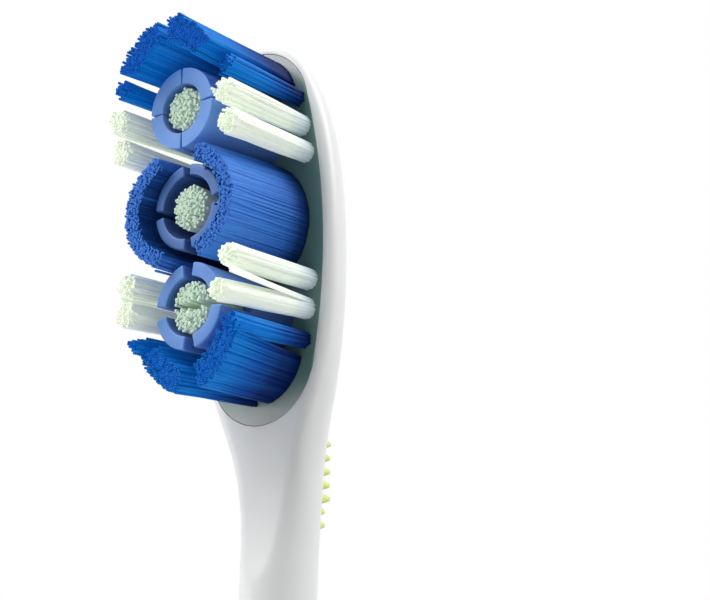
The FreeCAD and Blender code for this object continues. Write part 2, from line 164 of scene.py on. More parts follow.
# "even" holds what is the same all over a finish
whitePlasticLook = {"light": (0.83, 0.84, 0.83), "deep": (0.78, 0.795, 0.79), "flow": 9 * mm,
                    "grain": 0.16 * mm, "roughness": (0.3, 0.1), "wave": 6, "relief": (0.002 * mm, 0.5),
                    "even": {"subsurface": 0.12, "subsurfaceReach": 0.9 * mm,
                             "subsurfaceTint": (1.0, 0.95, 0.9), "ior": 1.49}}


def whitePlastic():
    look = whitePlasticLook
    sheet, flow, grain = grained("whitePlastic", look, 2)
    return sheet.surface(
        colour=sheet.blend(flow, look["light"], look["deep"]), roughness=varied(look["roughness"], flow),
        normal=sheet.bump(grain + look["wave"] * flow, *look["relief"]), **look["even"])


# clear-grey plate, deeper and greener where the tufts stand: partly the bristle feet showing through, partly
# painted shade and reflection of the bristles
plateLook = {"heel": (0.37, 0.41, 0.415), "field": (0.13, 0.245, 0.215),
             # heights between which the field, with its painted shade, starts at the heel and ends at the tip
             "tuftShadeStart": (15.6 * mm, 18.6 * mm), "tuftShadeEnd": (40.4 * mm, 43.4 * mm), "waver": 1.5 * mm,
             "flow": 4 * mm, "grain": 0.12 * mm, "roughness": (0.16, 0.1), "wave": 4,
             "relief": (0.003 * mm, 0.5),
             "even": {"subsurface": 0.3, "subsurfaceReach": 1.2 * mm, "subsurfaceTint": (0.8, 0.95, 1.0),
                      "ior": 1.49}}


def platePlastic():
    look = plateLook
    sheet, flow, grain = grained("platePlastic", look, 2)
    rise = sheet.node("ShaderNodeSeparateXYZ", None, {0: sheet.objectPlace()}, output="Z")
    rise = rise + look["waver"] * flow
    start, end = (sheet.node("ShaderNodeMapRange", {"interpolation_type": "SMOOTHSTEP"},
                             {"Value": rise, "From Min": low, "From Max": high})
                  for low, high in (look["tuftShadeStart"], look["tuftShadeEnd"]))
    # painted shade and reflection of the bristles: the field colour between those heights
    return sheet.surface(
        colour=sheet.blend(start * (1 - end), look["heel"], look["field"]),
        roughness=varied(look["roughness"], flow),
        normal=sheet.bump(grain + look["wave"] * flow, *look["relief"]), **look["even"])


# soft blue, lime where the cleaner's nubs and border face the bristle side
softBlueLook = {"light": (0.085, 0.25, 0.54), "deep": (0.055, 0.185, 0.45), "mark": "lime",
                "marked": (0.83, 0.91, 0.26), "flow": 3.5 * mm, "grain": 0.07 * mm,
                "roughness": (0.36, 0.14), "relief": (0.006 * mm, 0.6),
                "even": {"subsurface": 0.2, "subsurfaceReach": 0.8 * mm, "subsurfaceTint": (0.3, 0.6, 1.0),
                         "sheen": 0.25, "sheenRoughness": 0.4, "sheenTint": (0.7, 0.85, 1.0, 1)}}
# blue-violet, with painted shade inside a cup and towards its foot
cupRubberLook = {"light": (0.20, 0.41, 0.88), "deep": (0.125, 0.325, 0.78), "mark": "shade",
                 "marked": (0.012, 0.06, 0.26), "flow": 1.8 * mm, "grain": 0.06 * mm,
                 "roughness": (0.38, 0.15), "relief": (0.005 * mm, 0.5),
                 "even": {"subsurface": 0.25, "subsurfaceReach": 0.6 * mm, "subsurfaceTint": (0.4, 0.55, 1.0),
                          "sheen": 0.15, "sheenRoughness": 0.4, "sheenTint": (0.8, 0.85, 1.0, 1)}}


def rubber(name, look):
    sheet, flow, grain = grained(name, look, 3)
    # the mark is lime on the soft blue and painted shade on the cups
    mark = sheet.node("ShaderNodeAttribute", {"attribute_name": look["mark"]}, output="Fac")
    blue = sheet.blend(flow, look["light"], look["deep"])
    return sheet.surface(
        colour=sheet.blend(mark, blue, look["marked"]), roughness=varied(look["roughness"], grain),
        normal=sheet.bump(grain, *look["relief"]), **look["even"])


# bristle colours from root to tip, dark towards the root as painted shade in the dense bundle; the cut end is
# the last stop
cutEnd = 0.985
# inner is the strength of each kind's painted glow
bristleLooks = {
    "azure": {"stops": ((0.0, (0.0, 0.002, 0.035)), (0.26, (0.0, 0.008, 0.095)), (0.48, (0.0, 0.05, 0.30)),
                        (0.72, (0.0, 0.14, 0.52)), (cutEnd, (0.0, 0.155, 0.57)), (1.0, (0.0, 0.05, 0.36))),
              "paler": (0.03, 0.26, 0.68), "specular": 0.06, "inner": 0.24},
    "royal": {"stops": ((0.0, (0.0, 0.008, 0.05)), (0.14, (0.003, 0.03, 0.15)), (0.3, (0.022, 0.12, 0.47)),
                        (0.6, (0.042, 0.19, 0.65)), (cutEnd, (0.06, 0.225, 0.72)), (1.0, (0.05, 0.19, 0.66))),
              "paler": (0.08, 0.28, 0.78), "specular": 0.08, "inner": 0.07},
    "white": {"stops": ((0.0, (0.34, 0.43, 0.47)), (0.12, (0.54, 0.63, 0.66)), (0.3, (0.82, 0.90, 0.81)),
                        (0.9, (0.87, 0.94, 0.80)), (cutEnd, (0.88, 0.95, 0.81)), (1.0, (0.87, 0.95, 0.78))),
              "paler": (0.94, 0.97, 0.93), "specular": 0.3, "inner": 0.17},
    "green": {"stops": ((0.0, (0.34, 0.47, 0.40)), (0.3, (0.50, 0.66, 0.54)), (0.6, (0.60, 0.77, 0.63)),
                        (0.9, (0.65, 0.81, 0.68)), (cutEnd, (0.66, 0.82, 0.69)), (1.0, (0.60, 0.79, 0.63))),
              "paler": (0.82, 0.92, 0.84), "specular": 0.3, "inner": 0.06},
}
# what all bristles share: how much paler single strands are, and how near the cut end that stops
nylonLook = {"paler": 0.5, "palerEnd": 24, "roughness": (0.36, 0.14),
             "even": {"ior": 1.53, "subsurface": 0.25, "subsurfaceReach": 0.15 * mm,
                      "subsurfaceTint": (1, 1, 1)}}


def bristle(kind):
    look = bristleLooks[kind]
    sheet = Finish(f"{kind}Bristle")
    place = sheet.node("ShaderNodeUVMap", {"uv_map": "strand"})
    strand, along = (sheet.node("ShaderNodeSeparateXYZ", None, {0: place}, output=axis) for axis in "XY")
    colour = sheet.node("ShaderNodeValToRGB", {"stops": look["stops"]}, {0: along})
    share = nylonLook["paler"] * strand * along * (1 - along ** nylonLook["palerEnd"])
    tint = sheet.blend(share, colour, look["paler"])
    # painted glow: the bristle's tint given off as light, standing in for the light that clear nylon carries
    # up from inside the bundle
    return sheet.surface(
        colour=tint, roughness=varied(nylonLook["roughness"], strand), specular=look["specular"],
        innerLight=tint, innerStrength=look["inner"], **nylonLook["even"])


finishes = {"body": whitePlastic(), "plate": platePlastic(), "soft_blue": rubber("softBlue", softBlueLook),
            "cup_rubber": rubber("cupRubber", cupRubberLook)}
for kind in bristleLooks:
    finishes[f"{kind}_bristle"] = bristle(kind)
print("finishes:", len(finishes))


# Modelling helpers

def clearSelection():
    if bpy.context.mode != "OBJECT":
        bpy.ops.object.mode_set(mode="OBJECT")
    bpy.ops.object.select_all(action="DESELECT")


def selectOnly(piece):
    clearSelection()
    piece.select_set(True)
    bpy.context.view_layer.objects.active = piece


def named(name):
    piece = bpy.context.object
    piece.name = piece.data.name = name
    return piece


def points(piece):
    flat = np.empty(len(piece.data.vertices) * 3)
    piece.data.vertices.foreach_get("co", flat)
    return flat.reshape(-1, 3)


def reshape(piece, newPoints):
    piece.data.vertices.foreach_set("co", np.ascontiguousarray(newPoints, dtype=float).ravel())
    piece.data.update()


# select faces or edges whose centre passes a test, and open them for editing
def pick(piece, what, test):
    bpy.ops.object.mode_set(mode="EDIT")
    bpy.ops.mesh.select_mode(type="FACE" if what == "faces" else "EDGE")
    bpy.ops.mesh.select_all(action="DESELECT")
    bpy.ops.object.mode_set(mode="OBJECT")
    place = points(piece)
    for item in piece.data.polygons if what == "faces" else piece.data.edges:
        item.select = bool(test(place[list(item.vertices)]))
    bpy.ops.object.mode_set(mode="EDIT")


def mend(piece):
    selectOnly(piece)
    bpy.ops.object.mode_set(mode="EDIT")
    bpy.ops.mesh.select_all(action="SELECT")
    bpy.ops.mesh.remove_doubles(threshold=weld)
    bpy.ops.mesh.normals_make_consistent(inside=False)
    bpy.ops.object.mode_set(mode="OBJECT")


def modify(piece, kind, **settings):
    modifier = piece.modifiers.new(kind.lower(), kind)
    for key, value in settings.items():
        setattr(modifier, key, value)
    bpy.ops.object.modifier_apply(modifier=modifier.name)


def finishPiece(piece, slot, nodes=(), angle=35):
    selectOnly(piece)
    bpy.ops.object.shade_smooth_by_angle(angle=math.radians(angle))
    piece.data.materials.clear()
    piece.data.materials.append(finishes[slot])
    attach(piece, "root")
    if nodes:
        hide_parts(*nodes)
    return piece


# a value for each point of a piece, for its finish to read
def paint(piece, name, values):
    layer = piece.data.attributes.new(name, "FLOAT", "POINT")
    layer.data.foreach_set("value", values)


# a flat grid to be bent into a piece, and the places of its points from -1 to 1
def gridPiece(name, columns, rows):
    clearSelection()
    bpy.ops.mesh.primitive_grid_add(x_subdivisions=columns, y_subdivisions=rows, size=2)
    piece = named(name)
    return piece, points(piece)


def rowOf(grid, count):
    return np.rint((grid[:, 1] + 1) / 2 * (count - 1)).astype(int)


# a stalk from 0 to 1 with its end inset and poked: its points and faces, to be copied
def modelStalk(name, form):
    clearSelection()
    bpy.ops.mesh.primitive_cylinder_add(vertices=form["sides"], radius=1, depth=1, end_fill_type="NGON",
                                        location=(0, 0, 0.5))
    bpy.ops.object.transform_apply(location=True)
    stalk = named(name)
    pick(stalk, "edges", lambda ends: np.ptp(ends[:, 2]) > 0.5)
    bpy.ops.mesh.subdivide(number_cuts=form["cuts"])
    bpy.ops.object.mode_set(mode="OBJECT")
    pick(stalk, "faces", lambda corners: corners[:, 2].min() > 0.99)
    bpy.ops.mesh.inset(thickness=form["endInset"])
    bpy.ops.mesh.poke()
    bpy.ops.object.mode_set(mode="OBJECT")
    place = points(stalk)
    faces = [list(face.vertices) for face in stalk.data.polygons]
    bpy.data.objects.remove(stalk)
    return place, faces


# one mesh of many copies, whose places are given copy by copy
def copiedPiece(name, place, faces):
    size = place.shape[1]
    allFaces = [[corner + size * copy for corner in face] for copy in range(len(place)) for face in faces]
    mesh = bpy.data.meshes.new(name)
    mesh.from_pydata(place.reshape(-1, 3).tolist(), [], allFaces)
    piece = bpy.data.objects.new(name, mesh)
    bpy.context.collection.objects.link(piece)
    return piece


# smooth curve through stations, monotone between them
def through(stations, at):
    x, y = (np.array(column, float) for column in zip(*stations))
    step = np.diff(x)
    slope = np.diff(y) / step
    tangent = np.zeros(len(x))
    same = slope[:-1] * slope[1:] > 0
    first, second = 2 * step[1:] + step[:-1], step[1:] + 2 * step[:-1]
    with np.errstate(divide="ignore", invalid="ignore"):
        mean = (first + second) / (first / slope[:-1] + second / slope[1:])
    tangent[1:-1] = np.where(same, mean, 0)
    tangent[0], tangent[-1] = slope[0], slope[-1]
    index = np.clip(np.searchsorted(x, at) - 1, 0, len(x) - 2)
    part = (at - x[index]) / step[index]
    return ((1 + 2 * part) * (1 - part) ** 2 * y[index]
            + part * (1 - part) ** 2 * step[index] * tangent[index]
            + part ** 2 * (3 - 2 * part) * y[index + 1]
            + part ** 2 * (part - 1) * step[index] * tangent[index + 1])


# Camera: the picture's view of the brush, its lens and its target given in picture pixels
cameraPlan = {"azimuth": 41.63, "elevation": -18.18, "roll": -1.87, "focalPixels": 2200.0,
              "pixelsPerMm": 12.96, "target": (0.0, -1.5 * mm, 30 * mm), "targetPixel": (259.0, 230.2),
              "picture": (710, 600), "sensor": 36.0, "clipStart": 10 * mm, "rounds": 50}


def placeCamera(plan):
    azimuth, elevation, roll = (math.radians(plan[key]) for key in ("azimuth", "elevation", "roll"))
    back = Vector((math.sin(azimuth) * math.cos(elevation), -math.cos(azimuth) * math.cos(elevation),
                   math.sin(elevation)))
    distance = plan["focalPixels"] / plan["pixelsPerMm"] * mm
    across = (plan["targetPixel"][0] - plan["picture"][0] / 2) / plan["focalPixels"]
    above = (plan["picture"][1] / 2 - plan["targetPixel"][1]) / plan["focalPixels"]
    forward = -back
    for attempt in range(plan["rounds"]):
        level = forward.cross(Vector((0, 0, 1))).normalized()
        upright = level.cross(forward)
        right = level * math.cos(roll) + upright * math.sin(roll)
        up = upright * math.cos(roll) - level * math.sin(roll)
        ray = (forward + right * across + up * above).normalized()
        forward = (forward - back - ray).normalized()
    turn = Matrix((right, up, -forward)).transposed().to_4x4()
    clearSelection()
    bpy.ops.object.camera_add()
    camera = named("camera")
    camera.matrix_world = Matrix.Translation(Vector(plan["target"]) + back * distance) @ turn
    camera.data.sensor_width = plan["sensor"]
    camera.data.lens = plan["sensor"] * plan["focalPixels"] / plan["picture"][0]
    camera.data.clip_start = plan["clipStart"]
    bpy.context.scene.camera = camera
    return right, up, back


cameraRight, cameraUp, cameraBack = placeCamera(cameraPlan)
print("camera placed")


# Body: head, neck and handle in one skin, ring by ring from the tip to the butt
lowBody, highBody = (Vector(corner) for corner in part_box("handle_body"))
lowPlate, highPlate = (Vector(corner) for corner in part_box("head_plate"))
bodyForm = {
    "fullness": 2.3,
    "rim": 0.81 * mm,
    "headDepth": 5.3 * mm,
    "headAxis": -1.2 * mm,
    "neckHalf": (2.975 * mm, 2.825 * mm),
    "handleHalf": (6.4 * mm, 6.0 * mm),
    "neckLean": 0.5 * mm,
    "handleDrop": 2.1 * mm,
    # share of the rise, of the change from neck to head, and of the lean
    "shoulder": ((0.0, 0.0, -0.6), (0.12, 0.004, -0.1), (0.23, 0.03, 0.45), (0.33, 0.085, 0.85),
                 (0.41, 0.17, 1.0), (0.50, 0.35, 1.0), (0.60, 0.595, 1.0), (0.71, 0.80, 1.0),
                 (0.85, 0.95, 1.0)),
    # share of the handle's length, of the change from neck to handle, and of the drop
    "handle": ((0.07, 0.01, 0.22), (0.14, 0.12, 0.35), (0.21, 0.42, 0.62), (0.29, 0.82, 0.85),
               (0.37, 1.0, 0.97), (0.46, 0.95, 1.0), (0.55, 0.77, 0.95), (0.64, 0.69, 0.88),
               (0.73, 0.76, 0.82), (0.82, 0.86, 0.80), (0.90, 0.78, 0.80), (0.96, 0.52, 0.82),
               (1.0, 0.06, 0.84)),
    "runoutRadius": 34 * mm,
    "runoutTop": 12.59 * mm,
    # round between the flanks and the front, on the head and on the neck
    "rimRound": 0.85 * mm,
    "neckRound": 2.6 * mm,
    "roundChange": 7 * mm,
    # share of half a ring from the back to the front, and the turn there: closer set where the rim is round
    "ringTurns": ((0.0, 90.0), (0.46, -6.0), (0.8, -30.0), (1.0, -90.0)),
    "ringPoints": 160,
    # where a ring's rays start, behind the middle in shares of the depth, how far they reach,
    # and how often the way along them is halved to meet the skin
    "rayStart": 0.35,
    "rayReach": 1.4,
    "halvings": 32,
    "tipRows": 56,
    "shoulderRows": 100,
    "handleRows": 150,
    "handleGather": 0.75,
    "buttRows": 7,
    "recessDepth": 1.65 * mm,
    "seam": 0.035 * mm,
    "plateEndRadius": 5.2 * mm,
    "ovalPoints": 48,
}
headRise = (lowPlate.z + highPlate.z) / 2
headHalfWidth = highPlate.x + bodyForm["rim"]
headHalfLength = highBody.z - headRise
plateFront = lowPlate.y


# half width, half depth and middle of the section at each height
def section(z):
    form = bodyForm
    z = np.asarray(z, float)
    neckWidth, neckDepth = form["neckHalf"]
    handleLength = -lowBody.z
    stations = [(-share * handleLength, neckWidth + change * (form["handleHalf"][0] - neckWidth),
                 neckDepth + change * (form["handleHalf"][1] - neckDepth), -drop * form["handleDrop"])
                for share, change, drop in reversed(form["handle"])]
    stations += [(rise * headRise, neckWidth + change * (headHalfWidth - neckWidth),
                  neckDepth + change * (form["headDepth"] - neckDepth),
                  lean * form["neckLean"] + change * (form["headAxis"] - form["neckLean"]))
                 for rise, change, lean in form["shoulder"]]
    stations.append((headRise, headHalfWidth, form["headDepth"], form["headAxis"]))
    stations.append((highBody.z, headHalfWidth, form["headDepth"], form["headAxis"]))
    width, depth, middle = (through([(row[0], row[column]) for row in stations], z) for column in (1, 2, 3))
    reach = np.clip((z - headRise) / headHalfLength, 0, 1)
    taper = (1 - reach ** form["fullness"]) ** (1 / form["fullness"])
    return width * taper, depth * taper, middle


# front of the head and its long runout into the neck
def frontFace(z):
    form = bodyForm
    below = np.maximum(form["runoutTop"] - np.asarray(z, float), 0)
    return plateFront - form["runoutRadius"] + np.sqrt(np.maximum(form["runoutRadius"] ** 2 - below ** 2, 0))


# how far a point lies outside the body: the oval, the front face and the round between them
def outside(x, y, z, wide, deep, middle):
    form = bodyForm
    power = form["fullness"]
    reach = np.clip((z - headRise) / headHalfLength, 0, 1)
    oval = np.maximum(np.hypot(x / wide, (y - middle) / deep), 1e-6)
    steepness = power * oval ** (power - 2)
    slopes = (steepness * x / wide ** 2, steepness * (y - middle) / deep ** 2,
              power * reach ** (power - 1) / headHalfLength)
    steep = np.sqrt(slopes[0] ** 2 + slopes[1] ** 2 + slopes[2] ** 2)
    past = (oval ** power + reach ** power - 1) / steep
    front = frontFace(z) - y
    change = np.clip((form["runoutTop"] - z) / form["roundChange"], 0, 1)
    soft = form["rimRound"] + (form["neckRound"] - form["rimRound"]) * change
    soft = soft * np.maximum(1 + slopes[1] / steep, 1e-4)
    corner = np.hypot(np.maximum(past + soft, 0), np.maximum(front + soft, 0))
    return np.minimum(np.maximum(past, front), -soft) + corner


# points of the skin round the section at each height: side is 1 or -1, and a turn of 90 is the back
def skin(side, turn, z, shrink):
    form = bodyForm
    wide, deep, middle = section(np.minimum(z, headRise))
    narrowWide, narrowDeep, middle = section(z)
    start = middle + form["rayStart"] * narrowDeep
    across, back = side * narrowWide * np.cos(turn), narrowDeep * np.sin(turn)
    low, high = np.zeros(len(z)), np.full(len(z), form["rayReach"])
    for step in range(form["halvings"]):
        trial = (low + high) / 2
        inside = outside(trial * across, start + trial * back, z, wide, deep, middle) < 0
        low, high = np.where(inside, trial, low), np.where(inside, high, trial)
    return np.stack([low * shrink * across, start + low * shrink * back, z], 1)


# height of the back skin over a point of the XZ plane, or of the front skin
def skinDepth(x, z, back=True):
    width, depth, middle = section(z)
    rise = depth * np.sqrt(np.maximum(1 - (x / width) ** 2, 0))
    return middle + rise if back else middle - rise


# outward direction of the back or front skin over points of the XZ plane
def skinNormal(x, z, back=True):
    step = mm / 20
    acrossSlope = (skinDepth(x + step, z, back) - skinDepth(x - step, z, back)) / (2 * step)
    upSlope = (skinDepth(x, z + step, back) - skinDepth(x, z - step, back)) / (2 * step)
    normal = np.stack([-acrossSlope, np.ones(len(x)), -upSlope], 1) * (1 if back else -1)
    return normal / np.linalg.norm(normal, axis=1)[:, None]


def ovalOutline(halfWidth, halfLength, endRadius, count):
    reach = halfLength - endRadius
    flank = (halfWidth ** 2 + reach ** 2 - endRadius ** 2) / (2 * (halfWidth - endRadius))
    turn = math.atan2(reach, flank - halfWidth)
    side = np.linspace(-turn, turn, count, endpoint=False)
    end = np.linspace(turn, math.pi - turn, count, endpoint=False)
    half = np.concatenate([
        np.stack([halfWidth - flank + flank * np.cos(side), flank * np.sin(side)], 1),
        np.stack([endRadius * np.cos(end), reach + endRadius * np.sin(end)], 1)])
    return np.concatenate([half, -half])


# closed slab with an oval outline, its front at the given height
def ovalSlab(name, halfWidth, halfLength, endRadius, front, thickness):
    outline = ovalOutline(halfWidth, halfLength, endRadius, bodyForm["ovalPoints"])
    clearSelection()
    bpy.ops.mesh.primitive_circle_add(vertices=len(outline), radius=1, fill_type="NGON")
    slab = named(name)
    reshape(slab, np.stack([outline[:, 0], np.full(len(outline), front), headRise + outline[:, 1]], 1))
    bpy.ops.object.mode_set(mode="EDIT")
    bpy.ops.mesh.select_all(action="SELECT")
    bpy.ops.mesh.extrude_region_move(TRANSFORM_OT_translate={"value": (0, thickness, 0)})
    bpy.ops.object.mode_set(mode="OBJECT")
    mend(slab)
    return slab


def makeBody():
    form = bodyForm
    tip = np.linspace(0, 1, form["tipRows"], endpoint=False) ** form["fullness"]
    rows = [(highBody.z - headHalfLength * part, 1.0) for part in tip]
    rows += [(z, 1.0) for z in np.linspace(headRise, 0, form["shoulderRows"], endpoint=False)]
    ending = np.sin(np.linspace(0, math.pi / 2, form["handleRows"])) ** form["handleGather"]
    rows += [(lowBody.z * part, 1.0) for part in ending]
    rows += [(lowBody.z, shrink) for shrink in np.linspace(1, 0, form["buttRows"])[1:]]
    body, grid = gridPiece("body_skin", form["ringPoints"], len(rows) - 1)
    rowAt = rowOf(grid, len(rows))
    heights, shrinks = (np.array(column) for column in zip(*rows))
    turns = np.radians(np.interp(np.abs(grid[:, 0]), *zip(*form["ringTurns"])))
    reshape(body, skin(np.sign(grid[:, 0]), turns, heights[rowAt], shrinks[rowAt]))
    mend(body)
    seam = form["seam"]
    cutter = ovalSlab("recess_cutter", highPlate.x + seam, (highPlate.z - lowPlate.z) / 2 + seam,
                      form["plateEndRadius"] + seam, plateFront - form["recessDepth"],
                      2 * form["recessDepth"])
    selectOnly(body)
    modify(body, "BOOLEAN", object=cutter, operation="DIFFERENCE", solver="EXACT")
    bpy.data.objects.remove(cutter)
    return finishPiece(body, "body", ["handle_body"])


makeBody()
print("body modelled")


# Plate: an oval slab with a rounded front edge
plateForm = {"edgeRound": 0.08 * mm, "segments": 3}


def makePlate():
    plate = ovalSlab("bristle_plate", highPlate.x, (highPlate.z - lowPlate.z) / 2, bodyForm["plateEndRadius"],
                     plateFront, highPlate.y - lowPlate.y)
    pick(plate, "edges", lambda ends: np.ptp(ends[:, 1]) < hair and ends[0, 1] < plateFront + hair)
    bpy.ops.mesh.bevel(offset=plateForm["edgeRound"], segments=plateForm["segments"])
    bpy.ops.object.mode_set(mode="OBJECT")
    return finishPiece(plate, "plate", ["head_plate"], angle=30)


makePlate()
print("plate modelled")


# Polishing cups: a wall whose rim is parted in four, thickened and rounded
cupForm = {"points": 120, "rows": 20, "slotDepth": 3.4 * mm, "round": 0.24 * mm, "roundSteps": 3,
           "roundAngle": 50,
           # painted shade towards the foot, inside, and at most
           "footShade": 0.6, "insideShade": 0.25, "mostShade": 0.95,
           # faces taken out for each slot, how far the rim stands above the solid's, wall,
           # lean of the rim, and how much painted shade lies over the whole cup
           "cups": {"tip": (1, 0.5 * mm, 1.2 * mm, -0.05 * mm, 0.0),
                    "middle": (4, 0.0, 0.86 * mm, 0.12 * mm, 0.62),
                    "heel": (6, 0.0, 1.05 * mm, 0.12 * mm, 0.28)}}


def makeCup(kind):
    form = cupForm
    node = f"polishing_cup_{kind}"
    slotFaces, taller, wall, lean, paintedShade = form["cups"][kind]
    low, high = (Vector(corner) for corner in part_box(node))
    low.y -= taller
    radius = (high.x - low.x) / 2 - wall / 2
    rise = (low.z + high.z) / 2
    cup, grid = gridPiece(f"{node}_wall", form["points"], form["rows"])
    angle = grid[:, 0] * math.pi
    up = (grid[:, 1] + 1) / 2
    spread = radius + lean * up ** 2
    reshape(cup, np.stack([spread * np.cos(angle), high.y + (low.y - high.y) * up,
                           rise + spread * np.sin(angle)], 1))
    mend(cup)
    halfSlot = slotFaces * math.pi / form["points"]

    def inSlot(corners):
        centre = corners.mean(axis=0)
        turn = math.atan2(centre[2] - rise, centre[0]) % (math.pi / 2)
        return centre[1] < low.y + form["slotDepth"] and min(turn, math.pi / 2 - turn) < halfSlot

    pick(cup, "faces", inSlot)
    bpy.ops.mesh.delete(type="FACE")
    bpy.ops.object.mode_set(mode="OBJECT")
    modify(cup, "SOLIDIFY", thickness=wall, offset=0, use_even_offset=True)
    modify(cup, "BEVEL", width=form["round"], segments=form["roundSteps"], limit_method="ANGLE",
           angle_limit=math.radians(form["roundAngle"]))
    place = points(cup)
    inside = np.hypot(place[:, 0], place[:, 2] - rise) < radius - wall / 3
    depth = np.clip((place[:, 1] - low.y) / (high.y - low.y), 0, 1)
    # painted shade over the whole cup, towards its foot and inside
    shade = paintedShade + form["footShade"] * np.sqrt(depth) + form["insideShade"] * inside
    paint(cup, "shade", np.clip(shade, 0, form["mostShade"]))
    return finishPiece(cup, "cup_rubber", [node], angle=40)


for kind in cupForm["cups"]:
    makeCup(kind)
print("cups modelled")


# One bristle, modelled once: a six-sided stalk with a rounded end
strandForm = {"sides": 6, "cuts": 3, "endInset": 0.3, "endRise": 0.6, "sunk": 0.35 * mm, "bow": 0.05 * mm,
              "jitter": 0.012 * mm,
              # room between a bundle's edge and its outermost roots, in radii of a strand
              "edgeRoom": 0.6,
              # how far the light on a cut end leans aside and out
              "capLean": (0.5, 0.8)}
# turned so that it stands along -Y, with its root at 0 and its end at -1
strandPoints, strandFaces = modelStalk("strand_pattern", strandForm)
strandPoints = strandPoints[:, [0, 2, 1]] * (1, -1, 1)


# a bundle: copies of the bristle from their roots to their tips, each with its own tone;
# the light on a strand leans towards the outside of its bundle, as it does on a dense brush,
# and a dim below 1 keeps its colour nearer to the root's, for more painted shade
def makeBundle(name, roots, tips, outward, form, node, dim):
    count, size = len(roots), len(strandPoints)
    along = -strandPoints[:, 1]
    ring = strandPoints * (1, 0, 1)
    edge = np.hypot(ring[:, 0], ring[:, 2])
    end = along > 0.99
    bows = chance.normal(0, strandForm["bow"], (count, 1, 3))
    place = roots[:, None] + (tips - roots)[:, None] * along[:, None]
    place += bows * (4 * along * (1 - along))[:, None]
    place += ring * (form["radius"] * (1 + (form["swell"] - 1) * along))[:, None]
    place[:, :, 1] -= np.where(end, (1 - edge) * strandForm["endRise"] * form["radius"], 0)
    bundle = copiedPiece(name, place, strandFaces)
    mesh = bundle.data
    corner = np.empty(len(mesh.loops), int)
    mesh.loops.foreach_get("vertex_index", corner)
    shade = np.repeat(chance.random(count), size)
    dims = np.broadcast_to(dim, count)[:, None]
    height = np.where(end & (edge < 0.99), 1.0, np.minimum(along * dims, 1) * cutEnd).ravel()
    layer = mesh.uv_layers.new(name="strand")
    layer.data.foreach_set("uv", np.stack([shade[corner], height[corner]], 1).ravel())
    finishPiece(bundle, form["slot"], [node], angle=50)
    soft = form["soft"]
    side = ring * (1 - soft) + outward[:, None] * soft
    aside, out = strandForm["capLean"]
    cap = np.broadcast_to(ring * aside + np.array((0, -out, 0)), side.shape)
    # 0 is a face of the side, 1 the root's and 2 the cut end's
    kinds = np.array([2 if end[face].all() else 1 if (along[face] < 0.01).all() else 0
                      for face in strandFaces])
    kindAt = np.tile(np.repeat(kinds, [len(face) for face in strandFaces]), count)[:, None]
    normal = np.where(kindAt == 2, cap.reshape(-1, 3)[corner], side.reshape(-1, 3)[corner])
    normal = np.where(kindAt == 1, (0, 1, 0), normal)
    normal /= np.linalg.norm(normal, axis=1)[:, None]
    mesh.normals_split_custom_set(normal.tolist())
    return bundle


# rings of a round tuft's solid, as (height, centre, radius) from the plate up
def solidRings(node):
    place = points(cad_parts[node])
    rings = []
    for y in np.unique(np.round(place[:, 1], 6))[::-1]:
        level = place[np.abs(place[:, 1] - y) < mm / 500]
        middle = (level.min(axis=0) + level.max(axis=0)) / 2
        rings.append((y, middle, (level[:, 0].max() - level[:, 0].min()) / 2))
    return rings


def hexagons(radius, pitch):
    reach = int(radius / pitch * 1.3) + 2
    grid = [(column + 0.5 * (row % 2), row * math.sqrt(3) / 2) for row in range(-reach, reach + 1)
            for column in range(-reach, reach + 1)]
    grid = np.array(grid) * pitch
    return grid[np.hypot(grid[:, 0], grid[:, 1]) < radius]


# tips scatter a little, and a few loose bristles more
def scatter(tips, form):
    loose = np.where(chance.random(len(tips)) < form["loose"], form["looseReach"], form["stray"])
    tips[:, [0, 2]] += chance.normal(0, 1, (len(tips), 2)) * loose[:, None]


